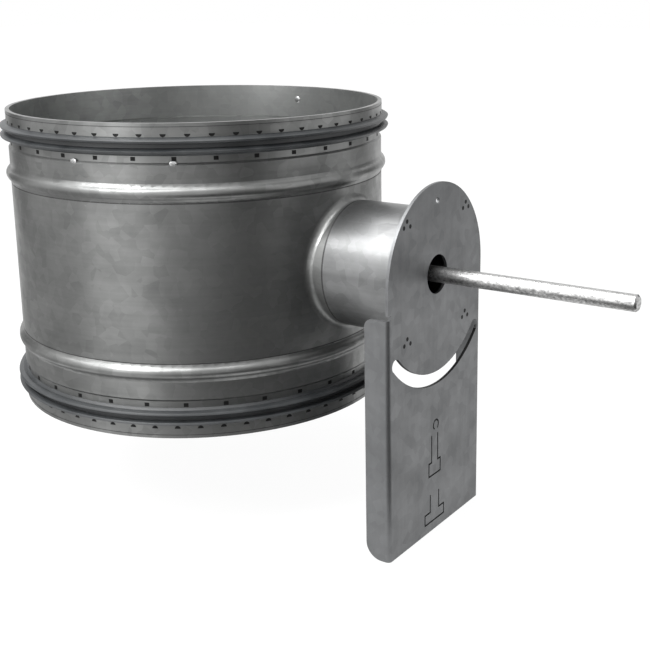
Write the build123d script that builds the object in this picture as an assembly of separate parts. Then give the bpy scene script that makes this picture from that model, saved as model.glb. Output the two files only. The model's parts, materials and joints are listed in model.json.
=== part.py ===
"""Round volume control damper for a 200 mm duct, with a riser and a plate for a drive.

A rolled and beaded steel casing carries a double-lip rubber gasket on each spigot.  A neck is
drawn out of its side, a riser tube stands over the neck, and a folded plate that takes a drive is
riveted to the riser's four ears.  Inside, a blade of two steel discs with a rubber rim between
them is bolted to an 8 mm shaft, which turns in a bush in the neck and in a bush in the far wall.

Frame: origin at the centre of the lower spigot's end, +Z along the duct, +X out along the shaft,
millimetres.  The blade is modelled shut, at right angles to the duct.
"""
from build123d import *
import math
import os

# ---- casing -------------------------------------------------------------------------------
casing_length = 154.0
casing_radius = 99.5        # outside of the barrel
casing_sheet = 0.8
spigot_reduction = 0.9      # how much smaller the spigot's outside radius is than the barrel's
spigot_length = 18.6        # from the end to the step up to the barrel
step_length = 1.0
bead_centre = 33.1          # from the nearer end
bead_half_width = 4.7
bead_height = 2.2
bead_crown_share = 0.55     # of the two bend radii together, the part that is the crown's
hem_length = 6.5            # the sheet folded back over the gasket's foot
hem_gap = 0.5

# ---- gasket -------------------------------------------------------------------------------
gasket_width = 15.4         # from the casing's end to the gasket's inner edge
gasket_base = 1.2
gasket_tuck = 4.0           # how far its foot reaches under the hem
lip_reach = 3.6             # beyond the gasket's base
lip_root = 2.4
lip_tip = 1.0
lip_lean = 1.2              # how far the tip leans towards the barrel
lip_first = 0.3             # from the hem to the first lip's root
lip_pitch = 4.8

# ---- neck and riser -------------------------------------------------------------------------
neck_radius = 31.2          # outside
neck_blend = 4.0            # outside radius where the neck is drawn out of the barrel
neck_reach = 12.5           # how far the neck stands out of the barrel
riser_clearance = 0.1
riser_sheet = 0.8
riser_gap = 4.5             # from the barrel to the riser's foot
ear_width = 13.0
ear_corner_share = 0.25     # corner radius as a share of the ear's width
ear_reach = 44.0            # from the shaft's axis

# ---- plate for the drive ----------------------------------------------------------------------
plate_standoff = 50.5       # from the barrel to the plate's front face
plate_sheet = 1.5
plate_radius = 45.3         # round top, and half the width
plate_drop = 134.5          # from the shaft's axis to the lower edge
flange_depth = 13.3
flange_top = 13.0           # below the shaft's axis
flange_top_round = 4.0
flange_bottom_round = 8.5
bend_radius = 2.2           # outside
relief_width = 2.4
relief_height = 2.6
shaft_hole_radius = 9.8
slot_radius = 53.0
slot_width = 6.7
slot_half_angle = 47.0
screw_hole_radius = 1.6
screw_hole_rise = 36.5
knockout_offset = -2.0      # sideways from the shaft's axis
slit_width = 0.9
pip_radius = 2.5            # middle of the curved slit round the tab above the knock-outs
pip_offset = 1.1
pip_drop = 77.9
pip_half_angle = 140.0
upper_stem_width = 6.0
upper_stem_top = 82.7
upper_foot_top = 97.2
upper_foot_bottom = 104.2
upper_foot_width = 11.4
lower_stem_width = 8.6
lower_stem_top = 114.3
lower_foot_top = 123.9
lower_foot_bottom = 129.4
lower_foot_width = 19.0

# ---- rivets in the ears -------------------------------------------------------------------------
rivet_circle = 40.2
rivet_radius = 1.6
rivet_head_radius = 3.0
rivet_head_height = 0.9     # of the countersink and of the tail
rivet_tail_share = 0.8      # tail radius as a share of the head's
rivet_clearance = 0.05

# ---- shaft and bearings -----------------------------------------------------------------------
shaft_radius = 4.0
shaft_reach = 102.0         # beyond the plate's front face
shaft_chamfer = 0.9
running_clearance = 0.04
cup_inset = 0.5             # from the barrel to the cup's floor
cup_sheet = 1.0
cup_rim = 8.0
cup_round = 1.6
bush_radius = 7.0
bush_flange_radius = 11.0
bush_flange = 1.4
bush_inset = 2.7            # how far both bushes reach inside the barrel's outside
drive_bush_length = 11.5    # beyond the cup's floor
idler_boss = 8.0            # beyond the barrel
idler_floor = 1.6
shaft_end_gap = 0.4
seal_ring_width = 2.0
seal_ring_depth = 1.4
seal_ring_inset = 6.0       # from the ring's inner side to the bush's outer end
washer_radius = 8.0
washer_thickness = 1.2
clip_radius = 7.6
clip_thickness = 0.9
clip_groove = 0.8           # how deep the clip's groove is cut in the shaft
clip_gap = 0.3
clip_mouth_share = 0.8      # half of the clip's mouth as a share of its inner radius
axial_play = 0.3            # between a washer and what it runs on

# ---- blade --------------------------------------------------------------------------------------
blade_wall_gap = 0.35       # from the rubber rim to the casing's wall
blade_seal_reach = 0.95     # how far the rubber stands out between the discs
blade_sheet = 1.0
seal_thickness = 2.0
seal_overlap = 14.4         # how far the rubber reaches in between the discs
seal_edge_share = 0.3       # chamfer as a share of the rubber's thickness
blade_flat_half_width = 12.5
rib_inset = 27.4            # from the disc's rim to the ring rib pressed into it
rib_width = 5.0
rib_height = 1.2
edge_rivet_inset = 7.4      # from the disc's rim
edge_rivet_count = 12
edge_rivet_radius = 1.5
edge_rivet_head_radius = 3.0
edge_rivet_head = 0.9
edge_rivet_chamfer = 0.5
bolt_radius = 2.5
bolt_spacing = 90.0
bolt_hex = 8.0
bolt_head = 3.5
nut_height = 4.0
thread_end = 1.5            # how far a bolt stands out of its nut
bolt_clearance = 0.1

# ---- worked out -----------------------------------------------------------------------------------
shaft_height = casing_length / 2
spigot_radius = casing_radius - spigot_reduction
hem_inner = spigot_radius + hem_gap
hem_outer = hem_inner + casing_sheet
neck_inner = neck_radius - casing_sheet
riser_inner = neck_radius + riser_clearance
riser_outer = riser_inner + riser_sheet
neck_end = casing_radius + neck_reach
riser_start = casing_radius + riser_gap
plate_face = casing_radius + plate_standoff
plate_back = plate_face - plate_sheet
shaft_tip = plate_face + shaft_reach
cup_position = casing_radius + cup_inset
bush_inner_face = casing_radius - bush_inset
drive_bush_end = cup_position + drive_bush_length
seal_ring_position = drive_bush_end - seal_ring_inset
blade_flat = bush_inner_face - washer_thickness - 2 * axial_play
seal_radius = casing_radius - casing_sheet - blade_wall_gap
blade_radius = seal_radius - blade_seal_reach
seal_inner_radius = blade_radius - seal_overlap
edge_rivet_circle = blade_radius - edge_rivet_inset
rib_radius = blade_radius - rib_inset
shaft_far_end = -(casing_radius + idler_boss - idler_floor - shaft_end_gap)
groove_start = drive_bush_end + clip_gap
channel_inner = shaft_radius
channel_outer = channel_inner + blade_sheet
disc_low = seal_thickness / 2


def at_shaft(shape):
    """Moves a shape made around the origin up to the shaft's axis."""
    return Pos(0, 0, shaft_height) * shape


def rod_x(radius, start, end):
    """A cylinder about the shaft's axis, from start to end along X, at the origin's height."""
    return Pos((start + end) / 2, 0, 0) * Rot(0, 90, 0) * Cylinder(radius, end - start)


def tube_x(outer, inner, start, end):
    """A tube about the shaft's axis, from start to end along X, at the origin's height."""
    return rod_x(outer, start, end) - rod_x(inner, start, end)


def revolved(points):
    """A solid turned about Z from corners given as (radius, height)."""
    outline = Polyline(*[(r, 0, z) for r, z in points], close=True)
    return revolve(make_face(outline), Axis.Z)


def bead_edges(wall_radius, centre, inset):
    """The three tangent arcs of a bead's section, moved inwards by inset, from low to high."""
    radii = (bead_half_width**2 + bead_height**2) / (2 * bead_height)
    crown = radii * bead_crown_share
    foot = radii - crown
    crown_x = wall_radius + bead_height - crown
    foot_x = wall_radius + foot
    tilt = math.atan2(bead_half_width, foot_x - crown_x)
    crown_r = crown - inset
    foot_r = foot + inset
    join = (crown_x + crown_r * math.cos(tilt), crown_r * math.sin(tilt))
    bend = (foot_x - foot_r * math.cos(tilt / 2), bead_half_width - foot_r * math.sin(tilt / 2))
    start = (wall_radius - inset, bead_half_width)

    def point(pair, side):
        return (pair[0], 0, centre + side * pair[1])

    return [
        ThreePointArc(point(start, -1), point(bend, -1), point(join, -1)),
        ThreePointArc(point(join, -1), (crown_x + crown_r, 0, centre), point(join, 1)),
        ThreePointArc(point(join, 1), point(bend, 1), point(start, 1)),
    ]


def casing_core(inset, overrun):
    """The casing's outside form, moved inwards by inset and lengthened at both ends by overrun."""
    spigot = spigot_radius - inset
    barrel = casing_radius - inset
    low, high = bead_centre, casing_length - bead_centre
    step = [spigot_length, spigot_length + step_length]
    lower_bead = bead_edges(casing_radius, low, inset)
    upper_bead = bead_edges(casing_radius, high, inset)
    edges = [
        Line((0, 0, -overrun), (spigot, 0, -overrun)),
        Line((spigot, 0, -overrun), (spigot, 0, step[0])),
        Line((spigot, 0, step[0]), (barrel, 0, step[1])),
        Line((barrel, 0, step[1]), lower_bead[0] @ 0),
        *lower_bead,
        Line(lower_bead[2] @ 1, upper_bead[0] @ 0),
        *upper_bead,
        Line(upper_bead[2] @ 1, (barrel, 0, casing_length - step[1])),
        Line((barrel, 0, casing_length - step[1]), (spigot, 0, casing_length - step[0])),
        Line((spigot, 0, casing_length - step[0]), (spigot, 0, casing_length + overrun)),
        Line((spigot, 0, casing_length + overrun), (0, 0, casing_length + overrun)),
        Line((0, 0, casing_length + overrun), (0, 0, -overrun)),
    ]
    return revolve(make_face(Wire(edges)), Axis.Z)


def with_neck(core, radius, blend, end):
    """A casing form with the neck's form blended into its side."""
    joined = core + at_shaft(rod_x(radius, casing_radius / 2, end))
    saddle = joined.edges().filter_by(GeomType.BSPLINE)
    return fillet(saddle, blend)


def hem():
    """The lower spigot's end, folded outwards and back over the gasket's foot."""
    corners = [
        (spigot_radius - casing_sheet / 2, 0),
        (hem_outer, 0),
        (hem_outer, hem_length),
        (hem_inner, hem_length),
        (hem_inner, casing_sheet),
        (spigot_radius - casing_sheet / 2, casing_sheet),
    ]
    return revolved(corners)


def upside_down(shape):
    """The same shape at the casing's other end."""
    return mirror(shape, Plane.XY.offset(shaft_height))


def duct_body():
    """Rolled casing with two beads, a hem at each end, the drawn neck and the far bush's hole."""
    outside = with_neck(casing_core(0, 0), neck_radius, neck_blend, neck_end)
    inside = with_neck(
        casing_core(casing_sheet, casing_sheet),
        neck_inner,
        neck_blend + casing_sheet,
        neck_end + casing_sheet,
    )
    fold = hem()
    shell = outside - inside + fold + upside_down(fold)
    bush_hole = rod_x(bush_radius, -casing_radius - bead_height, -casing_radius / 2)
    return shell - at_shaft(bush_hole)


def gasket():
    """Double-lip gasket of the lower spigot: a band with two lips that lean to the barrel."""
    base_r = spigot_radius + gasket_base
    lip_r = base_r + lip_reach
    roots = [hem_length + lip_first + i * lip_pitch for i in range(2)]
    corners = [(spigot_radius, gasket_tuck), (hem_inner, gasket_tuck), (hem_inner, hem_length)]
    corners += [(base_r, hem_length)]
    for root in roots:
        corners += [
            (base_r, root),
            (base_r + lip_reach / 2, root + lip_lean / 3),
            (lip_r, root + lip_lean),
            (lip_r - lip_tip / 2, root + lip_lean + lip_tip),
            (base_r + lip_reach / 3, root + lip_root + lip_lean / 4),
            (base_r, root + lip_root),
        ]
    corners += [(base_r, gasket_width - gasket_base), (spigot_radius, gasket_width)]
    return revolved(corners)


def riser_tube():
    """Tube over the neck, with four ears bent outwards behind the plate."""
    tube = tube_x(riser_outer, riser_inner, riser_start, plate_back)
    ear_length = ear_reach - riser_inner
    ear = Pos(plate_back - riser_sheet / 2, riser_inner + ear_length / 2, 0) * Box(
        riser_sheet, ear_length, ear_width
    )
    outer_edges = ear.edges().filter_by(Axis.X).group_by(Axis.Y)[-1]
    ear = fillet(outer_edges, ear_width * ear_corner_share)
    hole = Pos(plate_back - riser_sheet / 2, rivet_circle, 0) * Rot(0, 90, 0) * Cylinder(
        rivet_radius + rivet_clearance, riser_sheet * 2
    )
    ear = ear - hole
    bore = rod_x(riser_inner, riser_start, plate_back)
    for turn in range(4):
        tube += Rot(45 + 90 * turn, 0, 0) * (ear - bore)
    return at_shaft(tube)


def ear_spots():
    """Places of the rivets in the ears, about the shaft's axis."""
    return [Rot(45 + 90 * turn, 0, 0) * Pos(0, rivet_circle, 0) for turn in range(4)]


def rivet_form(clearance):
    """Shank and countersunk head of a rivet on the shaft's axis, grown by clearance."""
    shank = rod_x(rivet_radius + clearance, plate_back - riser_sheet, plate_face)
    head = Cone(rivet_radius + clearance, rivet_head_radius + clearance, rivet_head_height)
    return shank + Pos(plate_face - rivet_head_height / 2, 0, 0) * Rot(0, 90, 0) * head


def plate_top_outline():
    """The flat part above the flanges, in the plate's own plane: round over the shaft."""
    straight = Rectangle(2 * plate_radius, flange_top)
    return Circle(plate_radius) + Pos(0, -flange_top / 2) * straight


def stem_slits(width, top, bottom):
    """Two upright slits, either side of a knock-out's stem."""
    side = Rectangle(slit_width, bottom - top)
    return [Pos(s * width / 2, -(top + bottom) / 2) * side for s in (-1, 1)]


def foot_slits(stem, width, top, bottom):
    """Slits around a knock-out's foot: its lower edge, its sides and the ledges to its stem."""
    slits = [Pos(0, -bottom) * Rectangle(width + slit_width, slit_width)]
    span = (width - stem) / 2
    for side in (-1, 1):
        slits.append(Pos(side * width / 2, -(top + bottom) / 2) * Rectangle(slit_width, bottom - top))
        ledge = Rectangle(span + slit_width, slit_width)
        slits.append(Pos(side * (stem + span) / 2, -top) * ledge)
    return slits


def plate_cutouts():
    """Everything that is punched through the plate, in the plate's own plane."""
    slot_arc = CenterArc((0, 0), slot_radius, 270 - slot_half_angle, 2 * slot_half_angle)
    cuts = [
        Circle(shaft_hole_radius),
        SlotArc(slot_arc, slot_width),
        Pos(0, screw_hole_rise) * Circle(screw_hole_radius),
    ]
    pip_arc = CenterArc((pip_offset, -pip_drop), pip_radius, 90 - pip_half_angle, 2 * pip_half_angle)
    knockouts = [SlotArc(pip_arc, slit_width)]
    knockouts += stem_slits(upper_stem_width, upper_stem_top, upper_foot_top)
    knockouts += foot_slits(
        upper_stem_width, upper_foot_width, upper_foot_top, upper_foot_bottom
    )
    knockouts += stem_slits(lower_stem_width, lower_stem_top, lower_foot_top)
    knockouts += foot_slits(
        lower_stem_width, lower_foot_width, lower_foot_top, lower_foot_bottom
    )
    return cuts + [Pos(knockout_offset, 0) * k for k in knockouts]


def folded_channel():
    """The plate's lower part with both flanges folded back and their rear corners rounded."""
    height = plate_drop - flange_top
    middle = -(plate_drop + flange_top) / 2
    bends = []
    for inset in (0, plate_sheet):
        face = plate_face - inset
        block = Box(2 * flange_depth, 2 * (plate_radius - inset), height)
        block = Pos(face - flange_depth, 0, middle) * block
        front = block.edges().filter_by(Axis.Z).group_by(Axis.X)[-1]
        bends.append(fillet(front, bend_radius - inset))
    rear = Box(flange_depth, 2 * plate_radius, height)
    channel = bends[0] - bends[1] - Pos(plate_face - 1.5 * flange_depth, 0, middle) * rear
    corners = channel.edges().filter_by(Axis.Y).group_by(Axis.X)[0].group_by(Axis.Z)
    channel = fillet(corners[0], flange_bottom_round)
    corners = channel.edges().filter_by(Axis.Y).group_by(Axis.Z)[-1].group_by(Axis.X)[0]
    return fillet(corners, flange_top_round)


def actuator_plate():
    """Folded plate that takes the drive: holes, curved slot, knock-outs, flanges and reliefs."""
    upright = Plane(origin=(plate_back, 0, 0), x_dir=(0, 1, 0), z_dir=(1, 0, 0))
    plate = extrude(upright * plate_top_outline(), plate_sheet) + folded_channel()
    relief = Box(4 * plate_sheet, 2 * relief_width, relief_height)
    for side in (-1, 1):
        plate -= Pos(plate_back, side * plate_radius, relief_height / 2 - flange_top) * relief
    for cut in plate_cutouts():
        plate -= extrude(upright * cut, plate_sheet)
    for spot in ear_spots():
        plate -= spot * rivet_form(rivet_clearance)
    return at_shaft(plate)


def plate_rivets():
    """Four rivets through the plate and the riser's ears, flush with the plate's face."""
    tail_start = plate_back - riser_sheet - rivet_head_height
    tail = rod_x(rivet_head_radius * rivet_tail_share, tail_start, plate_back - riser_sheet)
    rivet = rivet_form(0) + tail
    return [at_shaft(spot * rivet) for spot in ear_spots()]


def bearing_cup():
    """Pressed cup inside the neck, which carries the drive-side bush and closes the duct."""
    cup = rod_x(neck_inner, cup_position, cup_position + cup_rim)
    cup = fillet(cup.edges().filter_by(GeomType.CIRCLE).sort_by(Axis.X)[0], cup_round)
    hollow = rod_x(neck_inner - cup_sheet, cup_position + cup_sheet, cup_position + cup_rim)
    return at_shaft(cup - hollow - rod_x(bush_radius, cup_position, cup_position + cup_sheet))


def drive_bush():
    """Flanged bush in the cup, bored for the shaft and grooved for its seal ring."""
    bush = rod_x(bush_radius, bush_inner_face, drive_bush_end)
    flange_start = cup_position + cup_sheet
    bush += rod_x(bush_flange_radius, flange_start, flange_start + bush_flange)
    bush -= rod_x(shaft_radius + running_clearance, bush_inner_face, drive_bush_end)
    groove = rod_x(
        shaft_radius + seal_ring_depth, seal_ring_position, seal_ring_position + seal_ring_width
    )
    return at_shaft(bush - groove)


def shaft_seal():
    """Rubber ring in the drive-side bush's groove."""
    ring = tube_x(
        shaft_radius + seal_ring_depth,
        shaft_radius + running_clearance,
        seal_ring_position,
        seal_ring_position + seal_ring_width,
    )
    return at_shaft(ring)


def idler_bush():
    """Blind bush in the far wall, with its flange outside the barrel."""
    end = -(casing_radius + idler_boss)
    bush = rod_x(bush_radius, end, -bush_inner_face)
    bush = fillet(bush.edges().filter_by(GeomType.CIRCLE).sort_by(Axis.X)[0], cup_round)
    bush += rod_x(bush_flange_radius, -(casing_radius + bush_flange), -casing_radius)
    bore = rod_x(shaft_radius + running_clearance, end + idler_floor, -bush_inner_face)
    return at_shaft(bush - bore)


def thrust_washer(side):
    """Washer on the shaft between the blade and a bush."""
    inner = side * (blade_flat + axial_play)
    outer = inner + side * washer_thickness
    low, high = min(inner, outer), max(inner, outer)
    return at_shaft(tube_x(washer_radius, shaft_radius, low, high))


def retaining_clip():
    """Open spring clip in the shaft's groove, outside the drive-side bush."""
    clip = tube_x(clip_radius, shaft_radius - clip_groove, groove_start, groove_start + clip_thickness)
    half_mouth = (shaft_radius - clip_groove) * clip_mouth_share
    mouth = Box(clip_thickness * 2, 2 * half_mouth, clip_radius)
    clip -= Pos(groove_start + clip_thickness / 2, 0, -clip_radius / 2 - clip_groove) * mouth
    return at_shaft(clip)


def drive_shaft():
    """Steel rod through the bushes and the blade, chamfered at its drive end."""
    rod = rod_x(shaft_radius, shaft_far_end, shaft_tip)
    rod = chamfer(rod.edges().filter_by(GeomType.CIRCLE).sort_by(Axis.X)[-1], shaft_chamfer)
    rod -= tube_x(
        shaft_radius * 2, shaft_radius - clip_groove, groove_start, groove_start + clip_thickness
    )
    for side in (-1, 1):
        rod -= Pos(side * bolt_spacing / 2, 0, 0) * Cylinder(bolt_radius + bolt_clearance,
                                                              shaft_radius * 4)
    return at_shaft(rod)


def blade_flats():
    """Blocks that square off a disc at both ends of the shaft."""
    size = casing_radius
    block = Box(size, 2 * blade_flat_half_width, size)
    return [Pos(side * (blade_flat + size / 2), 0, 0) * block for side in (-1, 1)]


def edge_rivet_spots():
    """Places of the rivets around the blade's rim, none of them on the shaft."""
    step = 360 / edge_rivet_count
    return [Rot(0, 0, step * (i + 0.5)) * Pos(edge_rivet_circle, 0, 0)
            for i in range(edge_rivet_count)]


def blade_disc():
    """Upper disc of the blade: a flat sheet with a shaft channel and a ring rib pressed up."""
    mid = disc_low + blade_sheet / 2
    disc = Pos(0, 0, mid) * Cylinder(blade_radius, blade_sheet)
    rib_base = rib_radius - rib_width / 2
    rib = revolved([
        (rib_base, disc_low + blade_sheet),
        (rib_base + rib_height, disc_low + blade_sheet + rib_height),
        (rib_base + rib_width - rib_height, disc_low + blade_sheet + rib_height),
        (rib_base + rib_width, disc_low + blade_sheet),
    ])
    rib_hollow = Pos(0, 0, -blade_sheet) * rib
    channel = rod_x(channel_outer, -blade_flat, blade_flat)
    disc = disc + rib - rib_hollow + channel - rod_x(channel_inner, -blade_radius, blade_radius)
    disc -= Pos(0, 0, disc_low - blade_radius) * Box(3 * blade_radius, 3 * blade_radius,
                                                     2 * blade_radius)
    for block in blade_flats():
        disc -= block
    for spot in edge_rivet_spots():
        disc -= spot * Cylinder(edge_rivet_radius, 4 * channel_outer)
    for side in (-1, 1):
        disc -= Pos(side * bolt_spacing / 2, 0, 0) * Cylinder(bolt_radius + bolt_clearance,
                                                               4 * channel_outer)
    return disc


def blade_seal():
    """Rubber rim between the discs, which closes on the casing's wall."""
    seal = Cylinder(seal_radius, seal_thickness) - Cylinder(seal_inner_radius, seal_thickness)
    edge = seal.edges().filter_by(GeomType.CIRCLE).sort_by(SortBy.RADIUS)[-2:]
    seal = chamfer(edge, seal_thickness * seal_edge_share)
    for block in blade_flats():
        seal -= block
    seal -= rod_x(channel_outer, -casing_radius, casing_radius)
    for spot in edge_rivet_spots():
        seal -= spot * Cylinder(edge_rivet_radius, 4 * seal_thickness)
    return at_shaft(seal)


def blade_rivets():
    """Rivets around the rim, through both discs and the rubber."""
    half = disc_low + blade_sheet
    rivet = Cylinder(edge_rivet_radius, 2 * half)
    for side in (-1, 1):
        head = Pos(0, 0, side * (half + edge_rivet_head / 2)) * Cylinder(
            edge_rivet_head_radius, edge_rivet_head
        )
        outer = head.edges().filter_by(GeomType.CIRCLE).sort_by(Axis.Z)
        rivet += chamfer(outer[-1] if side > 0 else outer[0], edge_rivet_chamfer)
    return [at_shaft(spot * rivet) for spot in edge_rivet_spots()]


def hexagon(height):
    """A hexagonal prism standing on the origin."""
    flats_radius = bolt_hex / math.sqrt(3)
    return extrude(RegularPolygon(flats_radius, 6), height)


def shaft_bolts():
    """Two bolts through the blade's channels and the shaft."""
    low = -(channel_outer + nut_height + thread_end)
    shank = Pos(0, 0, (low + channel_outer) / 2) * Cylinder(bolt_radius, channel_outer - low)
    bolt = shank + Pos(0, 0, channel_outer) * hexagon(bolt_head)
    return [at_shaft(Pos(side * bolt_spacing / 2, 0, 0) * bolt) for side in (-1, 1)]


def shaft_nuts():
    """Nuts of the two bolts, under the blade."""
    nut = hexagon(nut_height) - Pos(0, 0, nut_height / 2) * Cylinder(bolt_radius, nut_height)
    low = -(channel_outer + nut_height)
    return [at_shaft(Pos(side * bolt_spacing / 2, 0, low) * nut) for side in (-1, 1)]


def write(name, shape):
    """Writes one node's solids as a STEP file."""
    if isinstance(shape, (list, tuple)):
        solids = [solid for piece in shape for solid in piece.solids()]
    else:
        solids = shape.solids()
    export_step(solids[0] if len(solids) == 1 else Compound(children=solids), f"parts/{name}.step")


def main():
    """Builds every node and writes it to the parts folder."""
    os.makedirs("parts", exist_ok=True)
    lower_gasket = gasket()
    upper_disc = blade_disc()
    nodes = {
        "duct_body": duct_body(),
        "lower_gasket": lower_gasket,
        "upper_gasket": upside_down(lower_gasket),
        "riser_tube": riser_tube(),
        "actuator_plate": actuator_plate(),
        "plate_rivets": plate_rivets(),
        "bearing_cup": bearing_cup(),
        "drive_bush": drive_bush(),
        "shaft_seal": shaft_seal(),
        "idler_bush": idler_bush(),
        "drive_shaft": drive_shaft(),
        "retaining_clip": retaining_clip(),
        "thrust_washer_near": thrust_washer(1),
        "thrust_washer_far": thrust_washer(-1),
        "blade_disc_upper": at_shaft(upper_disc),
        "blade_disc_lower": at_shaft(mirror(upper_disc, Plane.XY)),
        "blade_seal": blade_seal(),
        "blade_rivets": blade_rivets(),
        "shaft_bolts": shaft_bolts(),
        "shaft_nuts": shaft_nuts(),
    }
    for name, shape in nodes.items():
        write(name, shape)


main()
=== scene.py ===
"""Dresses the round volume control damper and sets it in a plain studio.

Lengths are metres in the part's own frame: the origin is the centre of the lower spigot's end,
+Z runs along the duct and +X out along the drive shaft.
"""

import json
import logging
import math
from dataclasses import dataclass
from enum import Enum

import bmesh
import bpy
from mathutils import Matrix, Vector

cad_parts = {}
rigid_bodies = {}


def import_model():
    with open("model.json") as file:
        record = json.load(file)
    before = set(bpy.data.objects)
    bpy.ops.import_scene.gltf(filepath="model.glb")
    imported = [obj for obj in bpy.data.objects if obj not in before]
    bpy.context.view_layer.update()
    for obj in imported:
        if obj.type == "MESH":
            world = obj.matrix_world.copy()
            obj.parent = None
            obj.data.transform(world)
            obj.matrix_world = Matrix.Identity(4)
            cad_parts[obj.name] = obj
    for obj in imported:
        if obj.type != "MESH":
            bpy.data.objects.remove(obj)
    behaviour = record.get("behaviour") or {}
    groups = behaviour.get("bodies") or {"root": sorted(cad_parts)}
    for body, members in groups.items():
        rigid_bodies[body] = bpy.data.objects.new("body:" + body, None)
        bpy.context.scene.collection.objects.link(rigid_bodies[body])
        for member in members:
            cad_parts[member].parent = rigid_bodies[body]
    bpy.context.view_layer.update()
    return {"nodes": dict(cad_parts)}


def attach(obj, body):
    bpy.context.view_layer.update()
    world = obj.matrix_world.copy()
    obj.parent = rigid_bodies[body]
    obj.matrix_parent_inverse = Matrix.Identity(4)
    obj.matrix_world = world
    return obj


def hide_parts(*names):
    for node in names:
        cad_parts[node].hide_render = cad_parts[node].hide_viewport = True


for leftover in list(bpy.data.objects):
    bpy.data.objects.remove(leftover)
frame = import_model()

MM = 0.001
ROOT = "damper_body"
BLADE = "blade"
Colour = tuple[float, float, float]
log = logging.getLogger("damper")


class Grain(Enum):
    """Which way a sheet or a bar was rolled or drawn: its marks per metre along X, Y and Z."""

    ROUND_THE_DUCT = (9.0, 9.0, 620.0)
    ALONG_THE_SHAFT = (10.0, 640.0, 640.0)
    DOWN_THE_PLATE = (420.0, 420.0, 26.0)
    ACROSS_THE_BLADE = (18.0, 420.0, 420.0)


class End(Enum):
    """An end of the casing, by the sign of the direction in which it points."""

    LOWER = -1
    UPPER = 1


# ---- finishes ------------------------------------------------------------------------------


class NodeBench:
    """A material's node tree with short methods for the nodes that the finishes share."""

    def __init__(self, name: str) -> None:
        """Starts a material.

        Args:
            name: the finish's name, also the material's.
        """
        self.material = bpy.data.materials.new(name)
        self.material.use_nodes = True
        self.tree = self.material.node_tree
        self.shader = self.tree.nodes["Principled BSDF"]
        self.place = self.tree.nodes.new("ShaderNodeTexCoord").outputs["Object"]

    def link(self, source: bpy.types.NodeSocket, target: bpy.types.NodeSocket) -> None:
        """Joins an output to an input."""
        self.tree.links.new(source, target)

    def stretched(self, scale: tuple[float, float, float]) -> bpy.types.NodeSocket:
        """Object coordinates multiplied by a scale.

        Args:
            scale: features per metre along X, Y and Z.

        Returns:
            The stretched coordinates.
        """
        node = self.tree.nodes.new("ShaderNodeMapping")
        node.inputs["Scale"].default_value = scale
        self.link(self.place, node.inputs["Vector"])
        return node.outputs["Vector"]

    def noise(
        self, scale: tuple[float, float, float], low: float, high: float, detail: float = 3.0
    ) -> bpy.types.NodeSocket:
        """Soft noise spread over a range.

        Args:
            scale: features per metre along X, Y and Z.
            low: the value in the noise's valleys.
            high: the value on its peaks.
            detail: how many finer layers are added.

        Returns:
            The noise's value.
        """
        node = self.tree.nodes.new("ShaderNodeTexNoise")
        node.inputs["Scale"].default_value = 1.0
        node.inputs["Detail"].default_value = detail
        self.link(self.stretched(scale), node.inputs["Vector"])
        return self.spread(node.outputs["Fac"], 0.3, 0.7, low, high)

    def crystals(self, size: float, low: float, high: float) -> bpy.types.NodeSocket:
        """Cells of zinc spangle, each with a value of its own.

        Args:
            size: how wide a crystal is.
            low: the darkest crystal's value.
            high: the brightest crystal's value.

        Returns:
            The crystals' values.
        """
        node = self.tree.nodes.new("ShaderNodeTexVoronoi")
        node.inputs["Scale"].default_value = 1.0 / size
        self.link(self.place, node.inputs["Vector"])
        split = self.tree.nodes.new("ShaderNodeSeparateColor")
        self.link(node.outputs["Color"], split.inputs["Color"])
        return self.spread(split.outputs["Red"], 0.0, 1.0, low, high)

    def spread(
        self,
        value: bpy.types.NodeSocket,
        from_low: float,
        from_high: float,
        low: float,
        high: float,
    ) -> bpy.types.NodeSocket:
        """A value moved from one range to another."""
        node = self.tree.nodes.new("ShaderNodeMapRange")
        node.inputs["From Min"].default_value = from_low
        node.inputs["From Max"].default_value = from_high
        node.inputs["To Min"].default_value = low
        node.inputs["To Max"].default_value = high
        self.link(value, node.inputs["Value"])
        return node.outputs["Result"]

    def total(self, *values: bpy.types.NodeSocket) -> bpy.types.NodeSocket:
        """The sum of several values."""
        result = values[0]
        for value in values[1:]:
            node = self.tree.nodes.new("ShaderNodeMath")
            self.link(result, node.inputs[0])
            self.link(value, node.inputs[1])
            result = node.outputs["Value"]
        return result

    def tint(self, dark: Colour, light: Colour, amount: bpy.types.NodeSocket) -> None:
        """Colours the surface between two colours.

        Args:
            dark: the colour where amount is 0.
            light: the colour where amount is 1.
            amount: the share of the light colour.
        """
        node = self.tree.nodes.new("ShaderNodeMix")
        node.data_type = "RGBA"
        node.inputs[6].default_value = (*dark, 1.0)
        node.inputs[7].default_value = (*light, 1.0)
        self.link(amount, node.inputs[0])
        self.link(node.outputs[2], self.shader.inputs["Base Color"])

    def relief(self, height: bpy.types.NodeSocket, depth: float) -> None:
        """Raises the surface's detail.

        Args:
            height: the height, from 0 to 1.
            depth: how far 1 stands over 0.
        """
        node = self.tree.nodes.new("ShaderNodeBump")
        node.inputs["Distance"].default_value = depth
        node.inputs["Strength"].default_value = 1.0
        self.link(height, node.inputs["Height"])
        self.link(node.outputs["Normal"], self.shader.inputs["Normal"])


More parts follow.
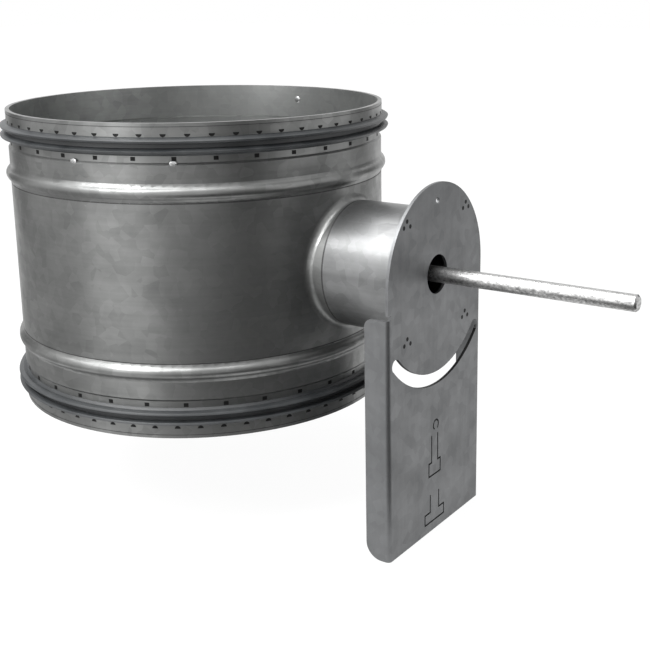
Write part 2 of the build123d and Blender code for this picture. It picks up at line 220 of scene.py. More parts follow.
@dataclass(frozen=True)
class ZincSheet:
    """Zinc-coated steel sheet: small spangle, clouds, and the marks of its rolling."""

    name: str
    dark: Colour
    light: Colour
    grain: Grain
    roughness: float = 0.36
    spangle: float = 5.0 * MM
    metallic: float = 0.92

    def material(self) -> bpy.types.Material:
        """Builds the finish."""
        bench = NodeBench(self.name)
        clouds = bench.noise((45.0, 45.0, 60.0), 0.05, 0.50, 6.0)
        marks = bench.noise(self.grain.value, 0.0, 0.12, 5.0)
        crystals = bench.crystals(self.spangle, 0.0, 0.26)
        amount = bench.total(clouds, marks, crystals)
        bench.tint(self.dark, self.light, amount)
        rough = bench.spread(amount, 0.1, 0.9, self.roughness + 0.07, self.roughness - 0.07)
        bench.link(rough, bench.shader.inputs["Roughness"])
        bench.relief(bench.noise(self.grain.value, 0.0, 1.0, 4.0), 0.003 * MM)
        bench.shader.inputs["Metallic"].default_value = self.metallic
        return bench.material


@dataclass(frozen=True)
class ZincRod:
    """Bright zinc plate on a drawn bar, with fine specks."""

    name: str
    dark: Colour
    light: Colour
    roughness: float = 0.3

    def material(self) -> bpy.types.Material:
        """Builds the finish."""
        bench = NodeBench(self.name)
        specks = bench.noise((700.0, 900.0, 900.0), 0.0, 0.75, 3.0)
        streaks = bench.noise(Grain.ALONG_THE_SHAFT.value, 0.0, 0.3, 4.0)
        amount = bench.total(specks, streaks)
        bench.tint(self.dark, self.light, amount)
        bench.link(bench.spread(amount, 0.0, 1.0, self.roughness + 0.1, self.roughness - 0.06),
                   bench.shader.inputs["Roughness"])
        bench.relief(bench.noise((900.0, 900.0, 900.0), 0.0, 1.0, 2.0), 0.02 * MM)
        bench.shader.inputs["Metallic"].default_value = 0.95
        return bench.material


@dataclass(frozen=True)
class Elastomer:
    """Extruded rubber or moulded plastic: dark, with a faint bloom."""

    name: str
    dark: Colour
    light: Colour
    roughness: float

    def material(self) -> bpy.types.Material:
        """Builds the finish."""
        bench = NodeBench(self.name)
        bloom = bench.noise((60.0, 60.0, 60.0), 0.0, 0.8, 4.0)
        bench.tint(self.dark, self.light, bloom)
        bench.link(bench.spread(bloom, 0.0, 1.0, self.roughness - 0.05, self.roughness + 0.1),
                   bench.shader.inputs["Roughness"])
        bench.relief(bench.noise((700.0, 700.0, 700.0), 0.0, 1.0, 3.0), 0.01 * MM)
        return bench.material


@dataclass(frozen=True)
class Palette:
    """Every finish of the damper, built once."""

    casing: bpy.types.Material
    lining: bpy.types.Material
    riser: bpy.types.Material
    plate: bpy.types.Material
    blade: bpy.types.Material
    shade: bpy.types.Material
    groove: bpy.types.Material
    bright: bpy.types.Material
    rod: bpy.types.Material
    fixing: bpy.types.Material
    rubber: bpy.types.Material
    plastic: bpy.types.Material

    @classmethod
    def mixed(cls) -> "Palette":
        """Builds the finishes.

        Returns:
            The palette.
        """
        return cls(
            casing=ZincSheet("galvanised_casing", (0.125, 0.128, 0.126), (0.29, 0.293, 0.289),
                             Grain.ROUND_THE_DUCT).material(),
            # a lighter copy of the casing's zinc for its inner side: painted light
            lining=ZincSheet("galvanised_inside_painted_lighter", (0.20, 0.205, 0.203), (0.46, 0.468, 0.462),
                             Grain.ROUND_THE_DUCT).material(),
            riser=ZincSheet("galvanised_riser", (0.13, 0.132, 0.133), (0.30, 0.304, 0.305),
                            Grain.ALONG_THE_SHAFT, 0.34).material(),
            plate=ZincSheet("zinc_plate", (0.13, 0.133, 0.136), (0.21, 0.214, 0.218),
                            Grain.DOWN_THE_PLATE, 0.46).material(),
            blade=ZincSheet("galvanised_blade", (0.17, 0.173, 0.170), (0.34, 0.343, 0.338),
                            Grain.ACROSS_THE_BLADE).material(),
            # near-black zinc for painted shade in punch marks, nicks, notches, slits and the slot's
            # walls
            shade=ZincSheet("painted_shade_edge", (0.012, 0.012, 0.012), (0.03, 0.03, 0.03),
                            Grain.DOWN_THE_PLATE, 0.6).material(),
            # dark zinc for painted shade at the bead creases, under the rim and at the riser's
            # joint
            groove=ZincSheet("dark_groove", (0.05, 0.05, 0.05), (0.11, 0.11, 0.11),
                             Grain.ROUND_THE_DUCT, 0.55).material(),
            # lighter zinc for the dimples: a painted highlight
            bright=ZincSheet("painted_highlight_zinc", (0.40, 0.405, 0.405), (0.66, 0.665, 0.665),
                             Grain.ROUND_THE_DUCT, 0.25).material(),
            rod=ZincRod("zinc_rod", (0.16, 0.16, 0.16), (0.62, 0.62, 0.615)).material(),
            fixing=ZincRod("zinc_fixings", (0.40, 0.41, 0.42), (0.75, 0.76, 0.77)).material(),
            rubber=Elastomer("lip_rubber", (0.018, 0.020, 0.022), (0.045, 0.048, 0.050),
                             0.42).material(),
            plastic=Elastomer("bush_plastic", (0.012, 0.012, 0.013), (0.03, 0.03, 0.032),
                              0.5).material(),
        )


# ---- pieces --------------------------------------------------------------------------------


def finished(
    mesh: bmesh.types.BMesh,
    name: str,
    material: bpy.types.Material,
    body: str = ROOT,
    crease: float = 38.0,
) -> bpy.types.Object:
    """Turns a bmesh into a piece of the damper that rides on a body.

    Args:
        mesh: the bmesh, which is freed.
        name: the piece's name.
        material: its finish.
        body: the body that carries it.
        crease: edges that bend more than this many degrees stay sharp.

    Returns:
        The piece.
    """
    bmesh.ops.remove_doubles(mesh, verts=mesh.verts, dist=0.0005 * MM)
    bmesh.ops.recalc_face_normals(mesh, faces=mesh.faces)
    for face in mesh.faces:
        face.smooth = True
    for edge in mesh.edges:
        edge.smooth = edge.calc_face_angle(math.pi) < math.radians(crease)
    data = bpy.data.meshes.new(name)
    mesh.to_mesh(data)
    mesh.free()
    data.materials.append(material)
    piece = bpy.data.objects.new(name, data)
    bpy.context.scene.collection.objects.link(piece)
    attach(piece, body)
    log.info("%s: %d faces on %s", name, len(data.polygons), body)
    return piece


def dressed(node: str, material: bpy.types.Material) -> None:
    """Gives a CAD node its finish.

    Args:
        node: the node's name.
        material: its finish.
    """
    data = frame["nodes"][node].data
    data.materials.clear()
    data.materials.append(material)
    log.info("%s: dressed as %s", node, material.name)


def on_wall(radius: float, azimuth: float, height: float) -> Matrix:
    """Where a mark lies on a round wall: its own Z points out of the wall and its X down.

    Args:
        radius: the wall's radius.
        azimuth: degrees round the duct from +X.
        height: above the lower end.

    Returns:
        The place as a matrix.
    """
    turn = Matrix.Rotation(math.radians(azimuth), 4, "Z")
    return turn @ Matrix.Translation((radius, 0.0, height)) @ Matrix.Rotation(math.pi / 2, 4, "Y")


def ring(radius: float, height: float, width: float, proud: float = 0.06 * MM) -> bmesh.types.BMesh:
    """A narrow ring that lies on a round wall.

    Args:
        radius: the wall's radius.
        height: the ring's middle, along Z.
        width: its size along Z.
        proud: how far it stands out of the wall.

    Returns:
        The ring's bmesh.
    """
    mesh = bmesh.new()
    low, high = height - width / 2, height + width / 2
    inner, outer = radius - proud, radius + proud
    corners = ((inner, low), (outer, low), (outer, high), (inner, high))
    verts = [mesh.verts.new((r, 0.0, z)) for r, z in corners]
    edges = [mesh.edges.new((verts[i], verts[(i + 1) % 4])) for i in range(4)]
    bmesh.ops.spin(mesh, geom=verts + edges, cent=(0, 0, 0), axis=(0, 0, 1),
                   angle=2 * math.pi, steps=256, use_merge=True)
    return mesh


@dataclass(frozen=True)
class Casing:
    """The rolled casing, the marks that its making leaves on it, and the painted shade and
    highlights on them.
    """

    barrel_radius: float = 99.5 * MM
    spigot_radius: float = 98.6 * MM
    sheet: float = 0.8 * MM
    hem_radius: float = 99.9 * MM
    length: float = 154.0 * MM
    crimp_height: float = 5.0 * MM
    crimp_radius: float = 1.45 * MM
    crimp_count: int = 56
    crimp_depth: float = 0.28 * MM
    crimp_sink: float = 0.1 * MM
    nick_height: float = 16.7 * MM
    nick_count: int = 32
    nick_start: float = -100.3
    nick_size: tuple[float, float, float] = (1.9 * MM, 2.3 * MM, 0.12 * MM)
    step_height: float = 18.8 * MM
    crease_height: float = 37.8 * MM
    crease_width: float = 0.5 * MM
    rim_line_height: float = 1.7 * MM
    rim_line_width: float = 0.3 * MM
    seam_width: float = 5.0 * MM
    seam_proud: float = 0.16 * MM
    barrel_seam: tuple[float, float] = (38.6 * MM, 115.4 * MM)
    band_seam: tuple[float, float] = (15.6 * MM, 18.4 * MM)
    outer_seam: float = -58.0
    inner_seam: float = 93.0
    dimple_azimuths: tuple[float, float] = (-84.8, -55.5)
    dimple_radius: float = 1.2 * MM
    inner_dimple_radius: float = 1.9 * MM
    inner_dimple_drop: float = 8.0 * MM
    dimple_flatness: float = 0.16

    def build(self, palette: Palette) -> None:
        """Dresses the casing, lighter inside as painted light, and adds its crimps, nicks, seams
        and weld dimples, with painted shade and highlights.

        Args:
            palette: the finishes.
        """
        dressed("duct_body", palette.casing)
        self.paint_inside_lighter(palette)
        for end in End:
            self.crimp_shades(end, palette)
            self.nick_shades(end, palette)
        self.seam("outer_seam", self.outer_seam, self.barrel_radius, *self.barrel_seam, palette)
        for end in End:
            self.spigot_seam(end, palette)
            self.shade_lines(end, palette)
        self.dimples(palette)

    def paint_inside_lighter(self, palette: Palette) -> None:
        """Gives the casing's inner side a lighter copy of the casing's zinc, as painted light for
        the inside.

        Args:
            palette: the finishes.
        """
        data = frame["nodes"]["duct_body"].data
        # the inner faces take the lighter copy: painted light
        data.materials.append(palette.lining)
        for polygon in data.polygons:
            outwards = Vector((polygon.center.x, polygon.center.y, 0.0)).normalized()
            inside = math.hypot(polygon.center.x, polygon.center.y) < self.barrel_radius
            if inside and polygon.normal.dot(outwards) < -0.5:
                polygon.material_index = 1

    def level(self, end: End, height: float) -> float:
        """The height above the lower end of something measured from either end."""
        return height if end is End.LOWER else self.length - height

    def crimp_shades(self, end: End, palette: Palette) -> None:
        """Half-round punch marks that hold the hem down on the gasket, in near-black zinc as
        painted shade.

        Args:
            end: the end they are at.
            palette: the finishes.
        """
        mesh = bmesh.new()
        for index in range(self.crimp_count):
            azimuth = 360.0 / self.crimp_count * index
            place = on_wall(self.hem_radius - self.crimp_sink, azimuth,
                            self.level(end, self.crimp_height))
            made = bmesh.ops.create_cone(
                mesh, cap_ends=True, segments=16, radius1=self.crimp_radius,
                radius2=self.crimp_radius, depth=self.crimp_depth)
            verts = made["verts"]
            geometry = verts + list({f for v in verts for f in v.link_faces}) \
                + list({e for v in verts for e in v.link_edges})
            cut = bmesh.ops.bisect_plane(
                mesh, geom=geometry, plane_co=(0.0, 0.0, 0.0),
                plane_no=(-end.value, 0.0, 0.0), clear_outer=True)
            kept = {v for v in cut["geom"] if isinstance(v, bmesh.types.BMVert)}
            edges = [e for e in cut["geom_cut"] if isinstance(e, bmesh.types.BMEdge)]
            bmesh.ops.edgeloop_fill(mesh, edges=edges)
            bmesh.ops.transform(mesh, matrix=place, verts=list(kept))
        # near-black finish: painted shade in the punch marks
        finished(mesh, f"{end.name.lower()}_crimps", palette.shade)

    def nick_shades(self, end: End, palette: Palette) -> None:
        """Small nicks in the narrow band between gasket and step, in near-black zinc as painted
        shade.

        Args:
            end: the end they are at.
            palette: the finishes.
        """
        mesh = bmesh.new()
        for index in range(self.nick_count):
            azimuth = self.nick_start + 360.0 / self.nick_count * index
            place = on_wall(self.spigot_radius, azimuth, self.level(end, self.nick_height))
            made = bmesh.ops.create_cube(mesh, size=1.0)
            bmesh.ops.scale(mesh, verts=made["verts"], vec=self.nick_size)
            bmesh.ops.transform(mesh, matrix=place, verts=made["verts"])
        # near-black finish: painted shade in the nicks
        finished(mesh, f"{end.name.lower()}_nicks", palette.shade)

    def seam(
        self, name: str, azimuth: float, radius: float, low: float, high: float, palette: Palette
    ) -> None:
        """The lap of the casing's longitudinal seam: a strip that stands out of the wall.

        Args:
            name: the piece's name.
            azimuth: degrees round the duct from +X.
            radius: the wall's radius.
            low: its lower end.
            high: its upper end.
            palette: the finishes.
        """
        mesh = bmesh.new()
        made = bmesh.ops.create_grid(mesh, x_segments=1, y_segments=6, size=0.5)
        bmesh.ops.scale(mesh, verts=made["verts"], vec=(high - low, self.seam_width, 1.0))
        for vert in mesh.verts:
            vert.co.z = math.sqrt(radius**2 - vert.co.y**2) - radius
        bmesh.ops.solidify(mesh, geom=mesh.faces[:], thickness=2 * self.seam_proud)
        place = on_wall(radius, azimuth, (low + high) / 2)
        bmesh.ops.transform(mesh, matrix=place, verts=mesh.verts)
        finished(mesh, name, palette.casing)

    def spigot_seam(self, end: End, palette: Palette) -> None:
        """The seam's lap on the narrow band beside a gasket.

        Args:
            end: the end it is at.
            palette: the finishes.
        """
        near, far = (self.level(end, height) for height in self.band_seam)
        self.seam(f"{end.name.lower()}_band_seam", self.outer_seam, self.spigot_radius,
                  min(near, far), max(near, far), palette)

    def shade_lines(self, end: End, palette: Palette) -> None:
        """Dark rings of painted shade at the crease at the bead's foot and at the fold's line under
        the rim.

        Args:
            end: the end they are at.
            palette: the finishes.
        """
        name = end.name.lower()
        # dark rings that paint the shade of the crease and of the fold under the rim
        crease = ring(self.barrel_radius, self.level(end, self.crease_height), self.crease_width)
        finished(crease, f"{name}_crease", palette.groove)
        line = ring(self.hem_radius, self.level(end, self.rim_line_height), self.rim_line_width)
        finished(line, f"{name}_rim_line", palette.groove)

    def dimple(self, mesh: bmesh.types.BMesh, radius: float, length: float,
               place: Matrix) -> None:
        """One shallow dimple.

        Args:
            mesh: the bmesh that takes it.
            radius: half its height along the duct.
            length: its size round the duct as a share of that height.
            place: where it lies.
        """
        made = bmesh.ops.create_uvsphere(mesh, u_segments=16, v_segments=10, radius=radius)
        bmesh.ops.scale(mesh, verts=made["verts"], vec=(1.0, length, self.dimple_flatness))
        bmesh.ops.transform(mesh, matrix=place, verts=made["verts"])

    def dimples(self, palette: Palette) -> None:
        """Shallow weld dimples beside the seam and on the inner wall, in lighter zinc as a painted
        highlight.

        Args:
            palette: the finishes.
        """
        mesh = bmesh.new()
        for azimuth in self.dimple_azimuths:
            place = on_wall(self.barrel_radius, azimuth, self.length - self.step_height)
            self.dimple(mesh, self.dimple_radius, 1.5, place)
        place = on_wall(self.spigot_radius - self.sheet, self.inner_seam,
                        self.length - self.inner_dimple_drop)
        self.dimple(mesh, self.inner_dimple_radius, 1.0, place)
        # lighter zinc: a painted highlight on the dimples
        finished(mesh, "weld_dimple_highlights", palette.bright)


@dataclass(frozen=True)
class LipGasket:
    """Double-lip gasket of one spigot, with its lips rounded as they are extruded."""

    end: End
    seat_radius: float = 98.6 * MM
    base: float = 1.2 * MM
    hem_length: float = 6.5 * MM
    width: float = 15.4 * MM
    reach: float = 3.6 * MM
    lean: float = 1.2 * MM
    root: float = 2.4 * MM
    tip: float = 1.0 * MM
    first: float = 0.3 * MM
    pitch: float = 4.8 * MM
    casing_length: float = 154.0 * MM
    steps: int = 256

    def section(self) -> list[tuple[float, float]]:
        """Corners of the section as radius and distance from the casing's end.

        Returns:
            The corners in order.
        """
        base = self.seat_radius + self.base
        corners = [(self.seat_radius, self.hem_length), (base, self.hem_length)]
        for index in range(2):
            foot = self.hem_length + self.first + index * self.pitch
            tip = base + self.reach
            corners += [
                (base, foot),
                (base + self.reach / 2, foot + self.lean / 3),
                (tip, foot + self.lean),
                (tip - self.tip / 2, foot + self.lean + self.tip),
                (base + self.reach / 3, foot + self.root + self.lean / 4),
                (base, foot + self.root),
            ]
        return corners + [(base, self.width - self.base), (self.seat_radius, self.width)]

    def build(self, palette: Palette) -> None:
        """Spins the section round the duct in place of the CAD node.

        Args:
            palette: the finishes.
        """
        mesh = bmesh.new()
        verts = [mesh.verts.new((r, 0.0, z)) for r, z in self.section()]
        for here, there in zip(verts, verts[1:] + verts[:1]):
            mesh.edges.new((here, there))
        bmesh.ops.bevel(mesh, geom=verts, offset=0.32 * MM, offset_type="OFFSET", segments=3,
                        profile=0.5, affect="VERTICES", material=-1, clamp_overlap=True)
        if self.end is End.UPPER:
            for vert in mesh.verts:
                vert.co.z = self.casing_length - vert.co.z
        bmesh.ops.spin(mesh, geom=mesh.verts[:] + mesh.edges[:], cent=(0, 0, 0), axis=(0, 0, 1),
                       angle=2 * math.pi, steps=self.steps, use_merge=True)
        node = f"{self.end.name.lower()}_gasket"
        piece = finished(mesh, f"{node}_lips", palette.rubber, crease=50.0)
        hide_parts(node)


@dataclass(frozen=True)
class KnockOut:
    """One lanced knock-out: a stem with a wider foot, measured down from the shaft's axis."""

    stem: float
    stem_top: float
    foot_top: float
    foot_bottom: float
    foot: float


@dataclass(frozen=True)
class DrivePlate:
    """The folded plate with its rivets and lanced knock-outs, and painted shade in its punch
    notches, slits and slot.
    """

    shaft_height: float = 77.0 * MM
    face: float = 150.0 * MM
    sheet: float = 1.5 * MM
    rivet_circle: float = 40.2 * MM
    slot_radius: float = 53.0 * MM
    slot_width: float = 6.7 * MM
    slot_half_angle: float = 47.0
    slot_steps: int = 48
    lining: float = 0.12 * MM
    dot_circle: float = 2.8 * MM
    dot_radius: float = 1.1 * MM
    dot_depth: float = 0.06 * MM
    knockout_offset: float = -2.0 * MM
    slit: float = 0.9 * MM
    filling: float = 0.4 * MM
    knockouts: tuple[KnockOut, ...] = (
        KnockOut(6.0 * MM, 82.7 * MM, 97.2 * MM, 104.2 * MM, 11.4 * MM),
        KnockOut(8.6 * MM, 114.3 * MM, 123.9 * MM, 129.4 * MM, 19.0 * MM),
    )
    tab_offset: float = 1.1 * MM
    tab_drop: float = 77.9 * MM
    tab_radius: float = 2.9 * MM

    def build(self, palette: Palette) -> None:
        """Dresses the plate and its rivets, and adds painted shade in the rivet notches, the slits
        and the slot's walls.

        Args:
            palette: the finishes.
        """
        dressed("actuator_plate", palette.plate)
        dressed("plate_rivets", palette.plate)
        self.notch_shades(palette)
        self.slit_shades(palette)
        self.slot_wall_shade(palette)

    def notch_shades(self, palette: Palette) -> None:
        """Three near-black dots round each rivet: painted shade in its punch notches.

        Args:
            palette: the finishes.
        """
        mesh = bmesh.new()
        for corner in range(4):
            angle = math.radians(45.0 + 90.0 * corner)
            centre = Vector((self.face, self.rivet_circle * math.cos(angle),
                             self.shaft_height + self.rivet_circle * math.sin(angle)))
            for turned in (-90.0, 0.0, 90.0):
                made = bmesh.ops.create_cone(
                    mesh, cap_ends=True, segments=14, radius1=self.dot_radius,
                    radius2=self.dot_radius, depth=self.dot_depth)
                place = (Matrix.Translation(centre)
                         @ Matrix.Rotation(math.radians(turned), 4, "X")
                         @ Matrix.Translation((0.0, 0.0, self.dot_circle))
                         @ Matrix.Rotation(math.pi / 2, 4, "Y"))
                bmesh.ops.transform(mesh, matrix=place, verts=made["verts"])
        # near-black finish: painted shade in the notches
        finished(mesh, "rivet_notch_shades", palette.shade)

    def strip(self, mesh: bmesh.types.BMesh, across: float, drop: float, width: float,
              height: float) -> None:
        """One near-black strip of painted shade that closes a slit half-way through the sheet.

        Args:
            mesh: the bmesh that takes it.
            across: its centre, along Y.
            drop: its centre, below the shaft's axis.
            width: its size along Y.
            height: its size along Z.
        """
        made = bmesh.ops.create_cube(mesh, size=1.0)
        bmesh.ops.scale(mesh, verts=made["verts"], vec=(self.filling, width, height))
        centre = (self.face - self.sheet / 2, across + self.knockout_offset,
                  self.shaft_height - drop)
        bmesh.ops.translate(mesh, verts=made["verts"], vec=centre)

    def slit_shades(self, palette: Palette) -> None:
        """Painted shade in the slits of both knock-outs and in the small round tab: near-black
        pieces half-way through the sheet.

        Args:
            palette: the finishes.
        """
        mesh = bmesh.new()
        for row in self.knockouts:
            stem, top, low = row.stem, row.stem_top, row.foot_top
            bottom, wide = row.foot_bottom, row.foot
            span = (wide - stem) / 2
            self.strip(mesh, 0.0, bottom, wide + self.slit, self.slit)
            for side in (-1, 1):
                self.strip(mesh, side * stem / 2, (top + low) / 2, self.slit, low - top)
                self.strip(mesh, side * wide / 2, (low + bottom) / 2, self.slit, bottom - low)
                self.strip(mesh, side * (stem + span) / 2, low, span + self.slit, self.slit)
        made = bmesh.ops.create_cone(mesh, cap_ends=True, segments=24, radius1=self.tab_radius,
                                     radius2=self.tab_radius, depth=self.filling)
        centre = (self.face - self.sheet / 2, self.knockout_offset + self.tab_offset,
                  self.shaft_height - self.tab_drop)
        place = Matrix.Translation(centre) @ Matrix.Rotation(math.pi / 2, 4, "Y")
        bmesh.ops.transform(mesh, matrix=place, verts=made["verts"])
        # near-black finish: painted shade in the slits
        finished(mesh, "slit_shades", palette.shade)


    def slot_wall_shade(self, palette: Palette) -> None:
        """Painted shade on the sheared wall along both sides of the curved slot: thin near-black
        curved sheets.

        Args:
            palette: the finishes.
        """
        mesh = bmesh.new()
        for radius, inwards in ((self.slot_radius - self.slot_width / 2, 1.0),
                                (self.slot_radius + self.slot_width / 2, -1.0)):
            self.shade_wall(mesh, radius, radius + inwards * self.lining)
        # near-black finish: painted shade on the slot's walls
        finished(mesh, "slot_wall_shade", palette.shade)

    def shade_wall(self, mesh: bmesh.types.BMesh, first: float, second: float) -> None:
        """One curved wall between two radii about the shaft's axis.

        Args:
            mesh: the bmesh that takes it.
            first: one radius.
            second: the other radius.
        """
        low, high = min(first, second), max(first, second)
        back, front = self.face - self.sheet, self.face
        start = math.radians(270.0 - self.slot_half_angle)
        across, up = math.cos(start), math.sin(start)
        corners = ((back, low), (front, low), (front, high), (back, high))
        verts = [mesh.verts.new((x, radius * across, self.shaft_height + radius * up))
                 for x, radius in corners]
        face = mesh.faces.new(verts)
        bmesh.ops.spin(mesh, geom=[face, *face.edges, *verts], cent=(0, 0, self.shaft_height),
                       axis=(1, 0, 0), angle=math.radians(2 * self.slot_half_angle),
                       steps=self.slot_steps)


@dataclass(frozen=True)
class Riser:
    """The tube between casing and plate, with the cup and the bush inside it."""

    shaft_height: float = 77.0 * MM
    outer_radius: float = 32.1 * MM
    start: float = 104.0 * MM
    end: float = 148.5 * MM
    joint_radius: float = 31.55 * MM
    joint_width: float = 1.0 * MM
    joint_proud: float = 0.4 * MM
    dimple_inset: float = 5.0 * MM
    dimple_radius: float = 1.6 * MM
    dimple_turn: float = 48.0
    dimple_flatness: float = 0.2

    def build(self, palette: Palette) -> None:
        """Dresses the riser and what it holds, and adds a painted highlight on its dimple and
        painted shade at its joint.

        Args:
            palette: the finishes.
        """
        dressed("riser_tube", palette.riser)
        dressed("bearing_cup", palette.casing)
        dressed("drive_bush", palette.plastic)
        dressed("shaft_seal", palette.rubber)
        dressed("idler_bush", palette.plastic)
        self.dimple(palette)
        self.joint(palette)

    def joint(self, palette: Palette) -> None:
        """A dark ring of painted shade in the gap at the joint between the riser's foot and the
        neck.

        Args:
            palette: the finishes.
        """
        joint = ring(self.joint_radius, self.start - self.joint_width / 2, self.joint_width,
                     self.joint_proud)
        along = (Matrix.Translation((0.0, 0.0, self.shaft_height))
                 @ Matrix.Rotation(math.pi / 2, 4, "Y"))
        bmesh.ops.transform(joint, matrix=along, verts=joint.verts)
        # dark finish: painted shade in the gap at the riser's foot
        finished(joint, "riser_joint_shade", palette.groove)

    def dimple(self, palette: Palette) -> None:
        """A dimple near the plate on the side of the seam, in lighter zinc as a painted highlight.

        Args:
            palette: the finishes.
        """
        mesh = bmesh.new()
        bmesh.ops.create_uvsphere(mesh, u_segments=16, v_segments=10, radius=self.dimple_radius)
        bmesh.ops.scale(mesh, verts=mesh.verts, vec=(1.0, 1.0, self.dimple_flatness))
        spot = Matrix.Rotation(math.radians(self.dimple_turn), 4, "X")
        place = (Matrix.Translation((self.end - self.dimple_inset, 0.0, self.shaft_height)) @ spot
                 @ Matrix.Translation((0.0, 0.0, self.outer_radius)))
        bmesh.ops.transform(mesh, matrix=place, verts=mesh.verts)
        # lighter zinc: a painted highlight on the dimple
        finished(mesh, "riser_dimple_highlight", palette.bright)


@dataclass(frozen=True)
class Blade:
    """The shaft and the blade that turns with it."""

    def build(self, palette: Palette) -> None:
        """Dresses every piece that turns.

        Args:
            palette: the finishes.
        """
        dressed("drive_shaft", palette.rod)
        for node in ("blade_disc_upper", "blade_disc_lower"):
            dressed(node, palette.blade)
        dressed("blade_seal", palette.rubber)
        for node in ("blade_rivets", "shaft_bolts", "shaft_nuts", "retaining_clip"):
            dressed(node, palette.fixing)
        for node in ("thrust_washer_near", "thrust_washer_far"):
            dressed(node, palette.plastic)


# ---- studio --------------------------------------------------------------------------------


@dataclass(frozen=True)
class Softbox:
    """A square lamp that looks at the damper's middle."""

    name: str
    azimuth: float
    elevation: float
    distance: float
    size: float
    power: float
    aim: tuple[float, float, float] = (0.03, 0.0, 0.06)

    def build(self) -> None:
        """Hangs the lamp."""
        light = bpy.data.lights.new(self.name, "AREA")
        light.shape = "SQUARE"
        light.size = self.size
        light.energy = self.power
        lamp = bpy.data.objects.new(self.name, light)
        towards = direction(self.azimuth, self.elevation)
        lamp.matrix_world = (Matrix.Translation(Vector(self.aim) + towards * self.distance)
                             @ towards.to_track_quat("Z", "Y").to_matrix().to_4x4())
        bpy.context.scene.collection.objects.link(lamp)
        log.info("%s: %.0f W", self.name, self.power)


@dataclass(frozen=True)
class Flag:
    """A dark card that only shows in the metal's reflections."""

    name: str
    azimuth: float
    elevation: float
    distance: float
    width: float
    height: float
    tone: float

    def build(self) -> None:
        """Stands the card up, facing the damper."""
        mesh = bmesh.new()
        bmesh.ops.create_grid(mesh, x_segments=1, y_segments=1, size=0.5)
        bmesh.ops.scale(mesh, verts=mesh.verts, vec=(self.width, self.height, 1.0))
        towards = direction(self.azimuth, self.elevation)
        place = (Matrix.Translation(towards * self.distance)
                 @ towards.to_track_quat("Z", "Y").to_matrix().to_4x4())
        bmesh.ops.transform(mesh, matrix=place, verts=mesh.verts)
        lay_card(mesh, self.name, self.tone)


@dataclass(frozen=True)
class FloorCard:
    """A card on the floor that only shows in the metal's reflections: part of a wide ring."""

    name: str
    first: float
    last: float
    tone: float
    near: float = 0.2
    far: float = 1.3
    steps: int = 12

    def build(self, level: float) -> None:
        """Lays the card down.

        Args:
            level: its height.
        """
        mesh = bmesh.new()
        along = direction(self.first, 0.0)
        verts = [mesh.verts.new(along * radius + Vector((0.0, 0.0, level)))
                 for radius in (self.near, self.far)]
        edge = mesh.edges.new(verts)
        bmesh.ops.spin(mesh, geom=[edge, *verts], cent=(0, 0, 0), axis=(0, 0, 1),
                       angle=math.radians(self.last - self.first), steps=self.steps)
        lay_card(mesh, self.name, self.tone)


def lay_card(mesh: bmesh.types.BMesh, name: str, tone: float) -> None:
    """Turns a bmesh into a matt card that only mirrored rays see.

    Args:
        mesh: the bmesh, which is freed.
        name: the card's name.
        tone: its grey.
    """
    data = bpy.data.meshes.new(name)
    mesh.to_mesh(data)
    mesh.free()
    material = bpy.data.materials.new(name)
    material.use_nodes = True
    tree = material.node_tree
    glow = tree.nodes.new("ShaderNodeEmission")
    glow.inputs["Color"].default_value = (tone, tone, tone, 1.0)
    tree.links.new(glow.outputs[0], tree.nodes["Material Output"].inputs["Surface"])
    data.materials.append(material)
    card = bpy.data.objects.new(name, data)
    card.visible_camera = False
    card.visible_diffuse = False
    card.visible_shadow = False
    bpy.context.scene.collection.objects.link(card)


def direction(azimuth: float, elevation: float) -> Vector:
    """A unit vector.

    Args:
        azimuth: degrees round Z from +X.
        elevation: degrees above the horizon.

    Returns:
        The vector.
    """
    flat = math.cos(math.radians(elevation))
    return Vector((flat * math.cos(math.radians(azimuth)), flat * math.sin(math.radians(azimuth)),
                   math.sin(math.radians(elevation))))


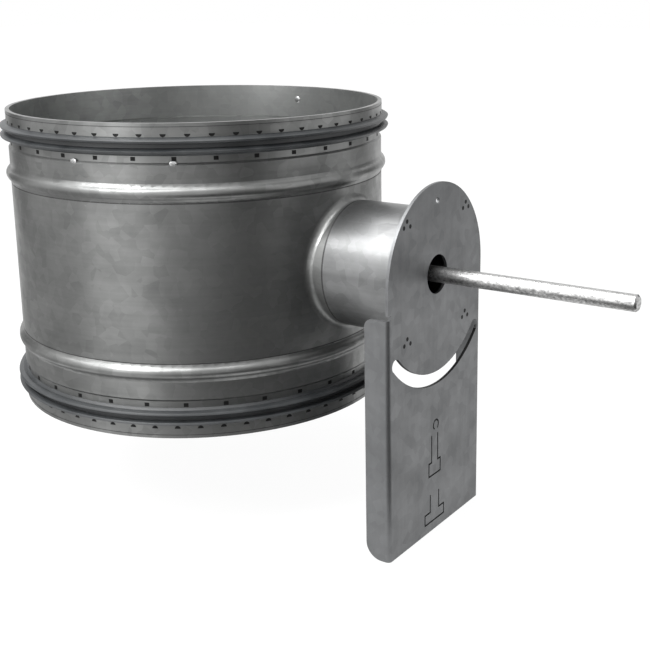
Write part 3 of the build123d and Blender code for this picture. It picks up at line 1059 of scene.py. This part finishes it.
@dataclass(frozen=True)
class Studio:
    """White room: floor, world, lamps, dark cards and the camera."""

    floor_level: float = -58.0 * MM
    floor_size: float = 12.0
    ambience: float = 0.75
    shadow_share: float = 0.10
    camera_place: tuple[float, float, float] = (416.2 * MM, -468.3 * MM, 215.6 * MM)
    camera_yaw: float = 33.09
    camera_drop: float = 13.42
    camera_roll: float = -0.546
    lens: float = 63.0
    shift: tuple[float, float] = (-0.0698, -0.1091)

    def build(self) -> None:
        """Sets the room up."""
        self.world()
        self.floor()
        self.lamps()
        self.camera()
        bpy.context.scene.view_settings.view_transform = "Standard"

    def seen_or_mirrored(self, tree: bpy.types.NodeTree) -> bpy.types.NodeSocket:
        """1 for rays from the camera, mirrored rays and rays through glass, and 0 for the rest.

        Args:
            tree: the node tree that asks.

        Returns:
            The answer's socket.
        """
        path = tree.nodes.new("ShaderNodeLightPath")
        result = path.outputs["Is Camera Ray"]
        for other in ("Is Glossy Ray", "Is Transmission Ray"):
            node = tree.nodes.new("ShaderNodeMath")
            node.operation = "MAXIMUM"
            tree.links.new(result, node.inputs[0])
            tree.links.new(path.outputs[other], node.inputs[1])
            result = node.outputs["Value"]
        return result

    def world(self) -> None:
        """White for what is seen, softer for the light that falls on the damper."""
        world = bpy.data.worlds.new("room")
        world.use_nodes = True
        tree = world.node_tree
        output = next(n for n in tree.nodes if n.type == "OUTPUT_WORLD")
        soft = tree.nodes["Background"]
        soft.inputs["Color"].default_value = (1.0, 1.0, 1.0, 1.0)
        soft.inputs["Strength"].default_value = self.ambience
        white = tree.nodes.new("ShaderNodeBackground")
        white.inputs["Color"].default_value = (1.0, 1.0, 1.0, 1.0)
        mix = tree.nodes.new("ShaderNodeMixShader")
        tree.links.new(self.seen_or_mirrored(tree), mix.inputs[0])
        tree.links.new(soft.outputs[0], mix.inputs[1])
        tree.links.new(white.outputs[0], mix.inputs[2])
        tree.links.new(mix.outputs[0], output.inputs["Surface"])
        bpy.context.scene.world = world

    def floor(self) -> None:
        """A white floor that keeps a faint shadow."""
        mesh = bmesh.new()
        bmesh.ops.create_grid(mesh, x_segments=1, y_segments=1, size=self.floor_size / 2)
        bmesh.ops.translate(mesh, verts=mesh.verts, vec=(0.0, 0.0, self.floor_level))
        data = bpy.data.meshes.new("floor")
        mesh.to_mesh(data)
        mesh.free()
        material = bpy.data.materials.new("floor")
        material.use_nodes = True
        tree = material.node_tree
        matt = tree.nodes["Principled BSDF"]
        matt.inputs["Base Color"].default_value = (0.86, 0.86, 0.86, 1.0)
        matt.inputs["Roughness"].default_value = 1.0
        matt.inputs["Specular IOR Level"].default_value = 0.0
        glow = tree.nodes.new("ShaderNodeEmission")
        glow.inputs["Color"].default_value = (1.0, 1.0, 1.0, 1.0)
        glow.inputs["Strength"].default_value = 1.05
        share = tree.nodes.new("ShaderNodeMath")
        share.operation = "MULTIPLY"
        share.inputs[1].default_value = 1.0 - self.shadow_share
        tree.links.new(self.seen_or_mirrored(tree), share.inputs[0])
        mix = tree.nodes.new("ShaderNodeMixShader")
        tree.links.new(share.outputs["Value"], mix.inputs[0])
        tree.links.new(matt.outputs[0], mix.inputs[1])
        tree.links.new(glow.outputs[0], mix.inputs[2])
        tree.links.new(mix.outputs[0], tree.nodes["Material Output"].inputs["Surface"])
        data.materials.append(material)
        floor = bpy.data.objects.new("floor", data)
        bpy.context.scene.collection.objects.link(floor)

    def lamps(self) -> None:
        """Key from the camera's left, a light from above, and the dark cards."""
        Softbox("key", -102.0, 12.0, 1.1, 0.6, 2.0).build()
        Softbox("brow", -106.0, 42.0, 1.2, 0.45, 9.0).build()
        Softbox("top", -120.0, 68.0, 1.2, 1.2, 22.0).build()
        Flag("flag_right", -24.0, 4.0, 1.0, 0.42, 1.0, 0.04).build()
        Flag("flag_left", -178.0, 4.0, 1.0, 0.5, 1.0, 0.10).build()
        Flag("flag_far", 66.0, 4.0, 1.1, 0.5, 1.0, 0.12).build()
        card_level = self.floor_level + 1.0 * MM
        FloorCard("floor_dark", -54.0, 4.0, 0.03).build(card_level)
        FloorCard("floor_left", -190.0, -112.0, 0.5).build(card_level)
        FloorCard("floor_right", -74.0, -54.0, 0.28).build(card_level)

    def camera(self) -> None:
        """Stands the camera above and to the right of the casing, looking along its side."""
        yaw, drop = math.radians(self.camera_yaw), math.radians(self.camera_drop)
        back = Vector((math.sin(yaw) * math.cos(drop), -math.cos(yaw) * math.cos(drop),
                       math.sin(drop)))
        right = Vector((math.cos(yaw), math.sin(yaw), 0.0))
        level = Matrix((right, back.cross(right), back)).transposed()
        turn = level @ Matrix.Rotation(math.radians(self.camera_roll), 3, "Z")
        data = bpy.data.cameras.new("camera")
        data.lens = self.lens
        data.shift_x, data.shift_y = self.shift
        camera = bpy.data.objects.new("camera", data)
        camera.matrix_world = Matrix.Translation(self.camera_place) @ turn.to_4x4()
        bpy.context.scene.collection.objects.link(camera)
        bpy.context.scene.camera = camera


def main() -> None:
    """Builds the damper from the casing outwards, and then the studio."""
    logging.basicConfig(level=logging.INFO, format="%(name)s %(message)s")
    palette = Palette.mixed()
    Casing().build(palette)
    for end in End:
        LipGasket(end).build(palette)
    Riser().build(palette)
    DrivePlate().build(palette)
    Blade().build(palette)
    Studio().build()


if __name__ == "__main__":
    main()
